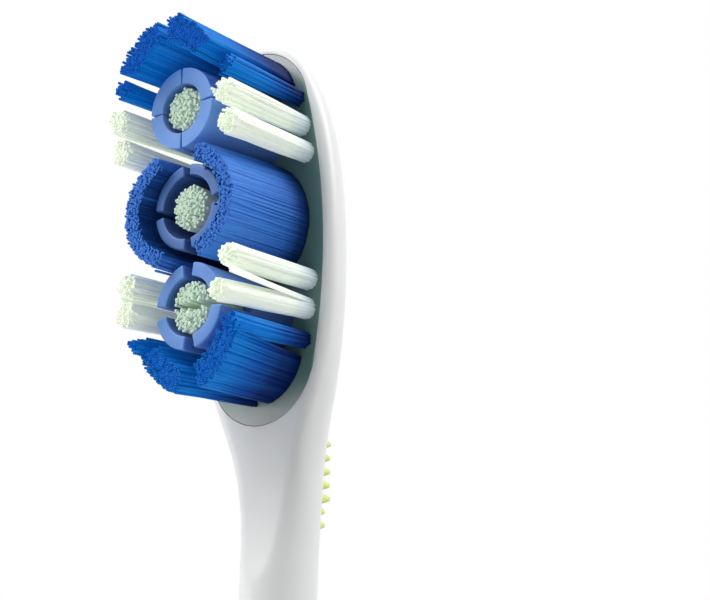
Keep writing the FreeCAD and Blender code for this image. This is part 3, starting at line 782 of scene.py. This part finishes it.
# Round tufts: how the bristles stand, and by tuft how much taller it is cut, how far it leans up or down,
# how wide it opens and how far its middle stands out
roundForms = {
    "white": {"slot": "white_bristle", "soft": 0.5, "dim": 1.0, "radius": 0.105 * mm, "pitch": 0.158 * mm,
              "swell": 1.15, "ragged": 0.3 * mm, "stray": 0.05 * mm, "loose": 0.06, "looseReach": 0.2 * mm,
              "trims": {"outer_tip_right": (-0.3 * mm, 0.0, 1.0, 0.3 * mm),
                        "inner_tip_right": (-0.35 * mm, -0.24 * mm, 1.0, 0.3 * mm),
                        "inner_heel_right": (-0.1 * mm, 0.2 * mm, 0.84, 0.3 * mm),
                        "outer_heel_right": (0.7 * mm, -0.3 * mm, 0.9, 0.3 * mm),
                        "outer_tip_left": (0.6 * mm, -0.19 * mm, 1.05, 0.3 * mm),
                        "inner_tip_left": (0.1 * mm, -0.15 * mm, 1.05, 0.3 * mm),
                        "inner_heel_left": (-0.4 * mm, -0.05 * mm, 1.05, 0.3 * mm),
                        "outer_heel_left": (0.0, -0.1 * mm, 1.05, 0.3 * mm)}},
    "edge": {"slot": "azure_bristle", "soft": 0.68, "dim": 1.3, "radius": 0.1 * mm, "pitch": 0.165 * mm,
             "swell": 1.1, "ragged": 0.2 * mm, "stray": 0.06 * mm, "loose": 0.08, "looseReach": 0.2 * mm,
             "trims": {"tip_left": (1.4 * mm, 0.0, 1.05, 0.4 * mm),
                       "tip_right": (0.0, 0.0, 1.0, 0.4 * mm),
                       "heel_left": (0.6 * mm, 0.0, 0.9, 2.4 * mm),
                       "heel_right": (0.0, 0.0, 1.05, 0.4 * mm)}},
    "centre": {"slot": "green_bristle", "soft": 0.5, "dim": 1.0, "radius": 0.11 * mm, "pitch": 0.172 * mm,
               "swell": 1.2, "ragged": 0.17 * mm, "stray": 0.07 * mm, "loose": 0.06, "looseReach": 0.15 * mm,
               "trims": {"tip": (0.45 * mm, 0.0, 1.12, 0.45 * mm),
                         "middle": (0.0, 0.0, 1.14, 0.45 * mm),
                         "heel": (0.0, 0.0, 1.14, 0.45 * mm)}},
}
# the heel's centre tuft is parted, and some bristles of one white tuft cross to the next
partedTuft = {"node": "centre_tuft_heel", "gap": 0.28 * mm}
frayedTuft = {"node": "white_tuft_outer_heel_right", "bristles": 5, "reach": 0.9 * mm, "least": 0.8,
              "forward": 0.55 * mm}


def makeRoundTuft(family, kind):
    form = roundForms[family]
    node = f"{family}_tuft_{kind}"
    taller, lower, spread, dome = form["trims"][kind]
    rings = [ring for ring in solidRings(node) if ring[0] < plateFront + hair]
    foot, flare, crown = rings[0], rings[-2], rings[-1]
    cells = hexagons(foot[2] - form["radius"] * strandForm["edgeRoom"], form["pitch"])
    cells = cells + chance.normal(0, strandForm["jitter"], cells.shape)
    count = len(cells)
    share = cells / foot[2]
    height = plateFront - crown[0] + taller
    lift = height - dome * (share ** 2).sum(axis=1) - np.abs(chance.normal(0, form["ragged"], count))
    lean = (flare[1] - foot[1]) * height / (foot[0] - flare[0])
    roots = np.stack([foot[1][0] + cells[:, 0], np.full(count, plateFront + strandForm["sunk"]),
                      foot[1][2] + cells[:, 1]], 1)
    crownRadius = flare[2] * spread
    tips = np.stack([foot[1][0] + lean[0] + share[:, 0] * crownRadius, plateFront - lift,
                     foot[1][2] + lean[2] + lower + share[:, 1] * crownRadius], 1)
    scatter(tips, form)
    if node == partedTuft["node"]:
        tips[:, 2] += partedTuft["gap"] * np.sign(cells[:, 1])
    if node == frayedTuft["node"]:
        upper = np.argsort(-cells[:, 0] - cells[:, 1])[:frayedTuft["bristles"]]
        tips[upper, 2] += frayedTuft["reach"] * np.linspace(1, frayedTuft["least"], len(upper))
        tips[upper, 0] += frayedTuft["forward"]
    outward = np.stack([share[:, 0], np.zeros(count), share[:, 1]], 1)
    return makeBundle(f"{node}_strands", roots, tips, outward, form, node, form["dim"])


for family, form in roundForms.items():
    for kind in form["trims"]:
        makeRoundTuft(family, kind)
print("round tufts modelled")


# Curved walls of bristle, set out in rings about a centre on the pattern's middle line
patternRise = headRise + 0.5 * mm
wallForms = {
    "end": {"slot": "azure_bristle", "soft": 0.68, "radius": 0.094 * mm, "pitch": 0.16 * mm, "swell": 1.12,
            "offset": 9.8 * mm, "inner": 2.2 * mm, "outer": 4.1 * mm, "start": 15.0, "span": 69.0,
            "flare": 0.35 * mm, "endFlare": 0.45 * mm, "fan": 1.0, "pinch": 1.0, "lean": (0.12 * mm, 0.0),
            "part": {1: 0.0, -1: 7.0}, "dim": {1: 1.0, -1: 0.86}, "innerDim": 0.0, "ending": 0.88,
            "ragged": 0.14 * mm, "stray": 0.05 * mm, "loose": 0.05, "looseReach": 0.22 * mm},
    "middle": {"slot": "royal_bristle", "soft": 0.68, "radius": 0.094 * mm, "pitch": 0.16 * mm, "swell": 1.12,
               "offset": 0.0, "inner": 3.8 * mm, "outer": 5.1 * mm, "start": -64.0, "span": 128.0,
               "flare": 0.35 * mm, "endFlare": 0.0, "fan": 1.07, "pinch": 0.86, "lean": (0.0, -0.15 * mm),
               "part": {1: 0.0}, "dim": {1: 1.0}, "innerDim": 0.86, "ending": 0.88,
               "ragged": 0.12 * mm, "stray": 0.045 * mm, "loose": 0.05, "looseReach": 0.18 * mm},
}


def makeWall(node, kind, side, end):
    form = wallForms[kind]
    inset = form["radius"] * strandForm["edgeRoom"]
    rows = int((form["outer"] - form["inner"] - 2 * inset) / (form["pitch"] * math.sqrt(3) / 2)) + 1
    first, last = math.radians(form["start"]), math.radians(form["start"] + form["span"])
    polar = []
    for row, radius in enumerate(np.linspace(form["inner"] + inset, form["outer"] - inset, rows)):
        edge = inset / radius
        number = int((last - first - 2 * edge) * radius / form["pitch"])
        turns = np.linspace(first + edge, last - edge, number, endpoint=False)
        turns = turns + (turns[1] - turns[0]) * (0.25 + 0.5 * (row % 2))
        polar += [(radius, turn) for turn in turns]
    radius, turn = np.array(polar).T
    radius = radius + chance.normal(0, strandForm["jitter"], len(radius))
    middle = (first + last) / 2
    spread = middle + (turn - middle) * form["fan"] - math.radians(form["part"][end])
    count = len(radius)
    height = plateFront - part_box(node)[0][1]
    lift = height - np.abs(chance.normal(0, form["ragged"], count))
    rise = patternRise + end * form["offset"]
    roots = np.stack([side * radius * np.cos(turn), np.full(count, plateFront + strandForm["sunk"]),
                      rise + end * radius * np.sin(turn)], 1)
    tipRadius = radius + form["flare"] + form["endFlare"] * np.clip((middle - turn) / (middle - first), 0, 1)
    tips = np.stack([side * tipRadius * np.cos(spread) + form["lean"][0], plateFront - lift,
                     rise + end * tipRadius * np.sin(spread) * form["pinch"] + form["lean"][1]], 1)
    scatter(tips, form)
    # how near a strand is to the wall's faces and to its ends
    across = 2 * (radius - form["inner"]) / (form["outer"] - form["inner"]) - 1
    aside = 2 * (turn - middle) / (last - first)
    ending = np.clip((np.abs(aside) - form["ending"]) / (1 - form["ending"]), 0, 1) * np.sign(aside)
    outward = np.stack([side * (across * np.cos(turn) - ending * np.sin(turn)), np.zeros(count),
                        end * (across * np.sin(turn) + ending * np.cos(turn))], 1)
    # painted shade: the heel's walls and the inner strands are kept nearer their roots' colour
    dim = form["dim"][end] - form["innerDim"] * np.clip(-across, 0, 1)
    return makeBundle(f"{node}_strands", roots, tips, outward, form, node, dim)


for side, sign in (("left", -1), ("right", 1)):
    makeWall(f"middle_crescent_{side}", "middle", sign, 1)
    for end, way in (("tip", 1), ("heel", -1)):
        makeWall(f"{end}_crescent_{side}", "end", sign, way)
print("bristle walls modelled")


# Soft pads: a patch of the skin inside the solid's outline, raised, with rounded edges
padRay = {"start": 30 * mm, "halvings": 22}


# half width of the solid's outline at each height, found by rays from the side it faces
def outlineOf(node, back, rows):
    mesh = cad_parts[node].data
    tree = BVHTree.FromPolygons([vertex.co for vertex in mesh.vertices],
                                [face.vertices for face in mesh.polygons])
    low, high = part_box(node)
    way = -1 if back else 1
    heights = low[2] + (high[2] - low[2]) * (0.5 - 0.5 * np.cos(np.linspace(0, math.pi, rows)))
    widths = []
    for z in heights:
        inner, outer = 0.0, high[0] + mm / 10
        for step in range(padRay["halvings"]):
            trial = (inner + outer) / 2
            hit = tree.ray_cast(Vector((trial, -way * padRay["start"], float(z))), Vector((0, way, 0)))[0]
            inner, outer = (trial, outer) if hit else (inner, trial)
        widths.append(inner)
    widths[0] = widths[-1] = 0.0
    return heights, np.array(widths)


def makePad(name, node, form, back):
    heights, widths = outlineOf(node, back, form["rows"])
    border = np.concatenate([np.stack([widths, heights], 1), np.stack([-widths, heights], 1)])

    def fromBorder(x, z):
        return np.array([np.hypot(border[:, 0] - px, border[:, 1] - pz).min() for px, pz in zip(x, z)])

    pad, grid = gridPiece(name, form["columns"], form["rows"] - 1)
    row = rowOf(grid, form["rows"])
    x = np.sin(grid[:, 0] * math.pi / 2) * widths[row]
    z = heights[row]
    inward = fromBorder(x, z)
    slope = np.clip(inward / form["shoulder"], 0, 1)
    lift = -form["sink"] + (form["proud"] + form["sink"]) * np.sqrt(1 - (1 - slope) ** 2)
    if "ribPitch" in form:
        wave = 0.5 + 0.5 * np.cos(2 * math.pi * (z + form["ribBend"] * np.abs(x)) / form["ribPitch"])
        fade = np.clip((inward - form["shoulder"]) / form["ribFade"], 0, 1)
        lift = lift + form["ribHeight"] * wave ** 2 * fade
    reshape(pad, np.stack([x, skinDepth(x, z, back), z], 1) + skinNormal(x, z, back) * lift[:, None])
    mend(pad)
    if np.mean([face.normal.y for face in pad.data.polygons]) * (1 if back else -1) < 0:
        bpy.ops.object.mode_set(mode="EDIT")
        bpy.ops.mesh.flip_normals()
        bpy.ops.object.mode_set(mode="OBJECT")
    if "limeEdge" in form:
        place = points(pad)
        fringe = np.clip(1 - fromBorder(place[:, 0], place[:, 2]) / form["limeEdge"], 0, 1)
        paint(pad, "lime", form["limeShare"] * fringe)
    modify(pad, "SOLIDIFY", thickness=form["thick"], offset=-1)
    return finishPiece(pad, "soft_blue", [node], angle=60)


cleanerForm = {"rows": 170, "columns": 64, "proud": 0.1 * mm, "sink": 0.12 * mm, "shoulder": 0.45 * mm,
               "thick": 0.3 * mm, "limeEdge": 0.6 * mm, "limeShare": 0.55}
thumbForm = {"rows": 230, "columns": 40, "proud": 0.3 * mm, "sink": 0.15 * mm, "shoulder": 0.7 * mm,
             "thick": 0.4 * mm, "ribPitch": 2.4 * mm, "ribBend": 0.55, "ribHeight": 0.45 * mm,
             "ribFade": 0.8 * mm}
palmForm = {**thumbForm, "rows": 420, "ribPitch": 2.8 * mm, "ribBend": -0.5}
makePad("cleaner_pad", "tongue_cleaner", cleanerForm, True)
makePad("thumb_pad", "thumb_grip", thumbForm, False)
makePad("palm_pad", "palm_grip", palmForm, True)
print("soft pads modelled")


# Broken ring ridges down the middle of the tongue cleaner, the first one with slanting bars
ridgeForm = {"rings": ((36.2 * mm, 2.8 * mm), (26.9 * mm, 2.55 * mm), (18.2 * mm, 2.05 * mm)),
             "arcs": ((10, 80), (95, 170), (190, 255), (275, 345)), "radius": 0.16 * mm, "steps": 14,
             "bars": (-1.35 * mm, -0.45 * mm, 0.45 * mm, 1.35 * mm), "barSlope": -0.35, "barReach": 0.72,
             # how deep a ridge is set and how thin it ends, in shares of its radius
             "sunk": 0.35, "endRadius": 0.45}


# points of the cleaner's face and the directions across, up and out of it there
def cleanerSpots(x, z):
    out = skinNormal(x, z)
    place = np.stack([x, skinDepth(x, z), z], 1) + out * cleanerForm["proud"]
    across = np.cross((0, 0, 1), out)
    across /= np.linalg.norm(across, axis=1)[:, None]
    return place, across, np.cross(out, across), out


def makeRidges():
    form = ridgeForm
    lines = []
    for rise, radius in form["rings"]:
        for first, last in form["arcs"]:
            turns = np.radians(np.linspace(first, last, form["steps"]))
            lines.append([(radius * math.cos(turn), rise + radius * math.sin(turn)) for turn in turns])
    rise, radius = form["rings"][0]
    for offset in form["bars"]:
        half = math.sqrt(radius ** 2 - offset ** 2) * form["barReach"]
        lines.append([(x, rise + offset + form["barSlope"] * x)
                      for x in np.linspace(-half, half, form["steps"])])
    curve = bpy.data.curves.new("cleaner_ridges", "CURVE")
    curve.dimensions = "3D"
    curve.bevel_depth = form["radius"]
    curve.bevel_resolution = 2
    curve.use_fill_caps = True
    for line in lines:
        spline = curve.splines.new("POLY")
        spline.points.add(len(line) - 1)
        place, across, up, out = cleanerSpots(*np.array(line).T)
        for point, spot in zip(spline.points, place - out * form["radius"] * form["sunk"]):
            point.co = (*spot, 1)
        for point in (spline.points[0], spline.points[-1]):
            point.radius = form["endRadius"]
    piece = bpy.data.objects.new("cleaner_ridges", curve)
    bpy.context.collection.objects.link(piece)
    selectOnly(piece)
    bpy.ops.object.convert(target="MESH")
    return finishPiece(bpy.context.object, "soft_blue", angle=60)


makeRidges()
print("ridges modelled")


# Nubs of the tongue cleaner: a blunt cone with a spread foot, copied along the borders and between the rings
nubForm = {"sides": 8, "cuts": 3, "endInset": 0.3, "sunk": 0.3, "topRise": 0.14,
           "profile": ((0.0, 1.0), (0.25, 0.7), (0.5, 0.54), (0.75, 0.42), (1.0, 0.28)),
           # radius, height and pitch on the head and on the neck
           "head": (0.36 * mm, 0.52 * mm, 0.92 * mm), "neck": (0.6 * mm, 0.8 * mm, 1.03 * mm),
           # height along the neck's row, from its foot up, and the share of the radius that stays
           "neckHeights": ((0.0, 0.7), (0.17, 0.62), (0.34, 1.1), (0.5, 1.0), (0.67, 0.93), (0.84, 0.8),
                           (1.0, 0.7)),
           "neckShare": 0.6, "neckInset": 0.72 * mm, "neckTop": 13.6 * mm,
           "rows": 2, "rowStep": 0.82 * mm, "rowShrink": 0.13, "closest": 0.5 * mm, "tipClear": 4.4 * mm,
           "lowClear": 1.6 * mm, "jitter": 0.05 * mm, "hidden": 0.2 * mm, "reachSteps": 80,
           # the field between the rings: pitch, half width, room round a ring, and size beside the border's
           "field": (0.84 * mm, 2.9 * mm, 0.42 * mm, 0.85),
           "dot": (0.2 * mm, 0.12 * mm), "dots": 90, "dotSpread": 0.45, "dotsAbove": 2 * mm,
           # place, half width, half length and height of the leaf at the tip
           "leaf": (0.6 * mm, 41.3 * mm, 0.62 * mm, 0.95 * mm, 0.34 * mm),
           # lime on all but the neck's right row, its share on a nub's flank and its gain towards the front
           "headLime": 0.15, "limeTurn": (0.5, 1.6)}


def modelNub():
    form = nubForm
    place, faces = modelStalk("nub_pattern", form)
    edge = np.hypot(place[:, 0], place[:, 1])
    narrow = np.interp(place[:, 2], *zip(*form["profile"]))
    place[:, :2] *= narrow[:, None]
    place[:, 2] += np.where(place[:, 2] > 0.99, form["topRise"] * (1 - edge), 0)
    place[:, 2] = np.where(place[:, 2] < 0.01, -form["sunk"], place[:, 2])
    return place, faces


# how far out on the pad a nub can stand before it shows past the edge of the front view
def nubReach(z, width, height):
    turn = math.radians(cameraPlan["azimuth"])
    wide, deep, middle = section(z)
    skyline = middle * math.sin(turn) + math.hypot(wide * math.cos(turn), deep * math.sin(turn))
    x = np.linspace(width, 0, nubForm["reachSteps"])
    place, across, up, out = cleanerSpots(x, np.full(len(x), z))
    end = place + out * height
    return x[np.argmax(end[:, 0] * math.cos(turn) + end[:, 1] * math.sin(turn) < skyline - nubForm["hidden"])]


def makeNubs():
    form = nubForm
    heights, widths = outlineOf("tongue_cleaner", True, cleanerForm["rows"])
    low, high = heights[0] + form["lowClear"], heights[-1] - form["tipClear"]
    radius, height, pitch = form["head"]
    fieldPitch, fieldHalf, ringRoom, fieldSize = form["field"]
    nubs = []

    def clearOfRings(x, z):
        return all(math.hypot(x, z - rise) > ring + ringRoom for rise, ring in ridgeForm["rings"])

    for side in (-1, 1):
        for row in range(form["rows"]):
            z = form["neckTop"] + pitch * (1 + 0.5 * (row % 2))
            while z < high:
                x = nubReach(z, np.interp(z, heights, widths), height) - row * form["rowStep"]
                x, rise = np.array([x, z]) + chance.normal(0, form["jitter"], 2)
                size = 1 - form["rowShrink"] * row
                if row == 0 or clearOfRings(x, rise):
                    x = side * max(x, form["closest"])
                    nubs.append((x, rise, radius * size, radius * size, height * size))
                z += pitch
        neckRadius, neckHeight, neckPitch = form["neck"]
        column = np.arange(low, form["neckTop"], neckPitch)
        rises = np.interp(np.linspace(0, 1, len(column)), *zip(*form["neckHeights"]))
        for z, rise in zip(column, rises):
            x = np.interp(z, heights, widths) - form["neckInset"]
            wide = neckRadius * (form["neckShare"] + (1 - form["neckShare"]) * rise)
            nubs.append((side * x, z, wide, wide, neckHeight * rise))
    middle = (form["neckTop"] + high) / 2
    field = hexagons(high - middle, fieldPitch) + (0, middle)
    for x, z in field + chance.normal(0, form["jitter"], field.shape):
        if abs(x) > fieldHalf or not clearOfRings(x, z):
            continue
        if abs(x) < nubReach(z, np.interp(z, heights, widths), height) - form["rows"] * form["rowStep"]:
            nubs.append((x, z, radius * fieldSize, radius * fieldSize, height * fieldSize))
    dotRadius, dotHeight = form["dot"]
    for dot in range(form["dots"]):
        z = chance.uniform(form["neckTop"], high + form["dotsAbove"])
        x = form["dotSpread"] * np.interp(z, heights, widths)
        nubs.append((chance.uniform(-x, x), z, dotRadius, dotRadius, dotHeight))
    nubs.append(form["leaf"])
    shape, faces = modelNub()
    x, z, wide, long, height = np.array(nubs).T[:, :, None, None]
    spot, across, up, out = (axis[:, None] for axis in cleanerSpots(x.ravel(), z.ravel()))
    place = spot + across * wide * shape[:, :1] + up * long * shape[:, 1:2] + out * height * shape[:, 2:]
    piece = copiedPiece("cleaner_nubs", place, faces)
    # lime towards the bristles, most of all on the neck's right row
    level = across * shape[:, :1] + up * shape[:, 1:2]
    facing = level[:, :, 1] / np.maximum(np.hypot(*shape[:, :2].T), 0.01)
    limeShare = np.where((z < form["neckTop"]) & (x > 0), 1, form["headLime"])[:, :, 0]
    even, gain = form["limeTurn"]
    paint(piece, "lime", (limeShare * np.clip(even - gain * facing, 0, 1)).ravel())
    mend(piece)
    return finishPiece(piece, "soft_blue", angle=60)


makeNubs()
print("nubs modelled")


# Stage: pale floor under the butt, soft lamps round the brush and a white surround
stagePlan = {"floorSize": 3.0, "floorColour": (0.86, 0.86, 0.86), "floorRoughness": 0.7, "fill": 0.165,
             # direction in the camera's own right, up and back, distance, size, watts
             "lamps": {"key": ((-0.6, 0.8, 0.0), 0.5, 0.4, 2.3),
                       "right": ((0.7, 0.7, -0.1), 0.5, 0.4, 2.4),
                       "left": ((-0.97, -0.25, -0.1), 0.5, 0.35, 0.8)}}


# 1 for what the camera sees, straight or by reflection
def rayMask(sheet):
    light = sheet.tree.nodes.new("ShaderNodeLightPath")
    seen = [Wire(sheet, light.outputs[f"Is {kind} Ray"]) for kind in ("Camera", "Glossy", "Transmission")]
    return sheet.node("ShaderNodeMath", {"operation": "MINIMUM"}, {0: seen[0] + seen[1] + seen[2], 1: 1.0})


def makeStage():
    plan = stagePlan
    clearSelection()
    bpy.ops.mesh.primitive_plane_add(size=plan["floorSize"], location=(0, 0, 0))
    floor = named("floor")
    place = points(floor)
    place[:, 2] = cadBox[0][2]
    reshape(floor, place)
    sheet = Finish("floorPaint")
    floor.data.materials.append(
        sheet.surface(colour=(*plan["floorColour"], 1), roughness=plan["floorRoughness"]))
    world = bpy.data.worlds.new("surround")
    bpy.context.scene.world = world
    world.use_nodes = True
    sheet = Sheet(world.node_tree)
    background = world.node_tree.nodes["Background"]
    background.inputs["Color"].default_value = (1, 1, 1, 1)
    sheet.put(background.inputs["Strength"], plan["fill"] + (1 - plan["fill"]) * rayMask(sheet))
    target = Vector(cameraPlan["target"])
    for name, (direction, distance, size, watts) in plan["lamps"].items():
        way = (cameraRight * direction[0] + cameraUp * direction[1] + cameraBack * direction[2]).normalized()
        clearSelection()
        bpy.ops.object.light_add(type="AREA")
        lamp = named(name)
        aim = way.to_track_quat("Z", "Y").to_matrix().to_4x4()
        lamp.matrix_world = Matrix.Translation(target + way * distance) @ aim
        lamp.data.size = size
        lamp.data.energy = watts


makeStage()
bpy.context.scene.view_settings.view_transform = "Standard"
print("stage set")
